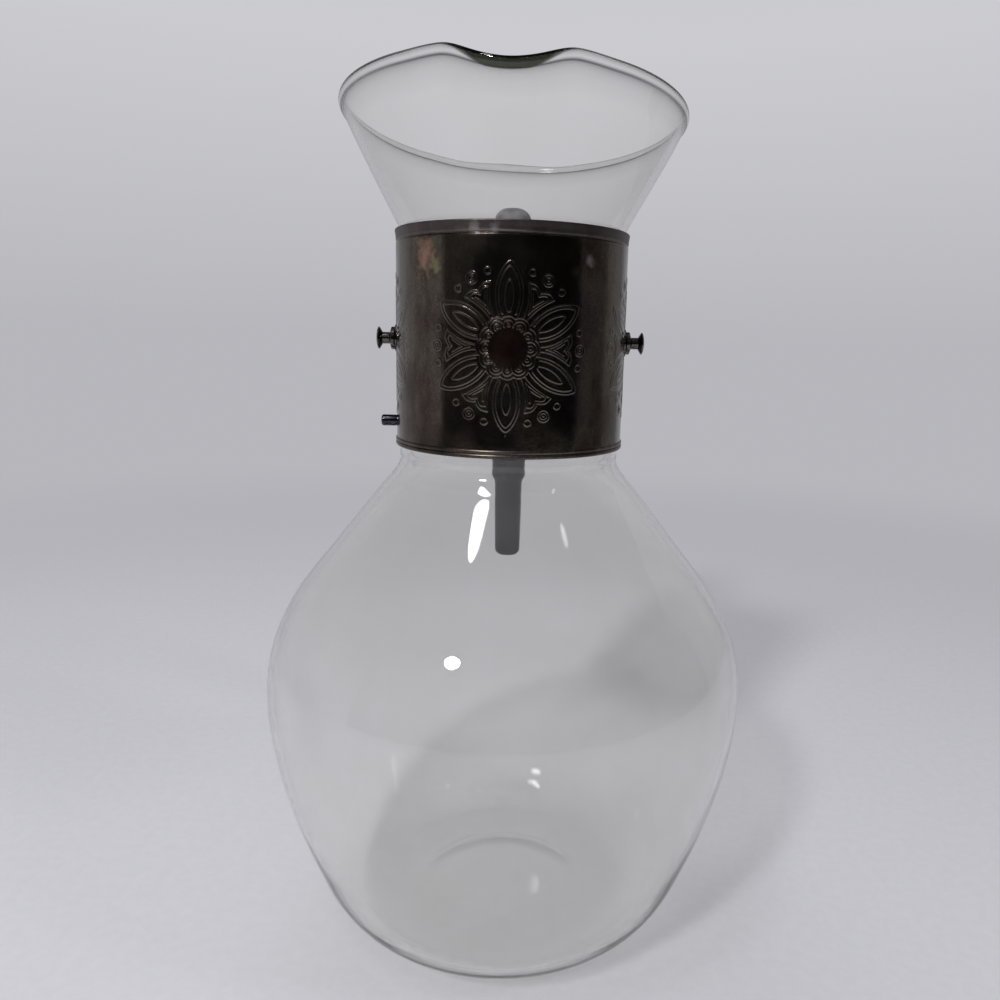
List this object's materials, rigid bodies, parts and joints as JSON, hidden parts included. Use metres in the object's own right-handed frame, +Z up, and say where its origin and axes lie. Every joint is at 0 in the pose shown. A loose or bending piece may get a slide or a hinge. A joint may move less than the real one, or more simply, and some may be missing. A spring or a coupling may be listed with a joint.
{
  "type": "glass carafe",
  "caption": "Blown glass carafe with a wide body, flared mouth and pouring lip, in a split metal neck collar with two spool trunnions, a stop pin and a dark back handle",
  "frame": {"origin": "centre of the flat glass base, on the plane that the carafe stands on", "axes": "+Z up along the carafe's axis, -Y towards the pouring lip, +Y towards the handle, X along the trunnion axis"},
  "size_m": [0.1656, 0.1862, 0.283],
  "materials": {
    "glass": "clear blown glass, fire-polished rim",
    "cork": "natural cork strip",
    "tarnished_plate": "silver plate on brass, tarnished brown-black with coppery patches",
    "turned_brass": "turned, plated and tarnished",
    "dark_steel": "turned pin, darkened with age",
    "black_grip": "moulded black phenolic, satin",
    "screw_steel": "plated steel, dulled"
  },
  "bodies": {
    "root": {"glass_vessel": "glass", "cork_upper": "cork", "cork_lower": "cork", "collar_band": "tarnished_plate", "trunnion_left": "turned_brass", "trunnion_right": "turned_brass", "trunnion_washer_left": "turned_brass", "trunnion_washer_right": "turned_brass", "trunnion_backing_left": "turned_brass", "trunnion_backing_right": "turned_brass", "stop_pin": "dark_steel", "stop_pin_backing": "turned_brass", "handle_grip": "black_grip", "handle_screw_upper": "screw_steel", "handle_screw_lower": "screw_steel", "handle_nut_upper": "screw_steel", "handle_nut_lower": "screw_steel", "handle_washers": "screw_steel"}
  },
  "joints": []
}
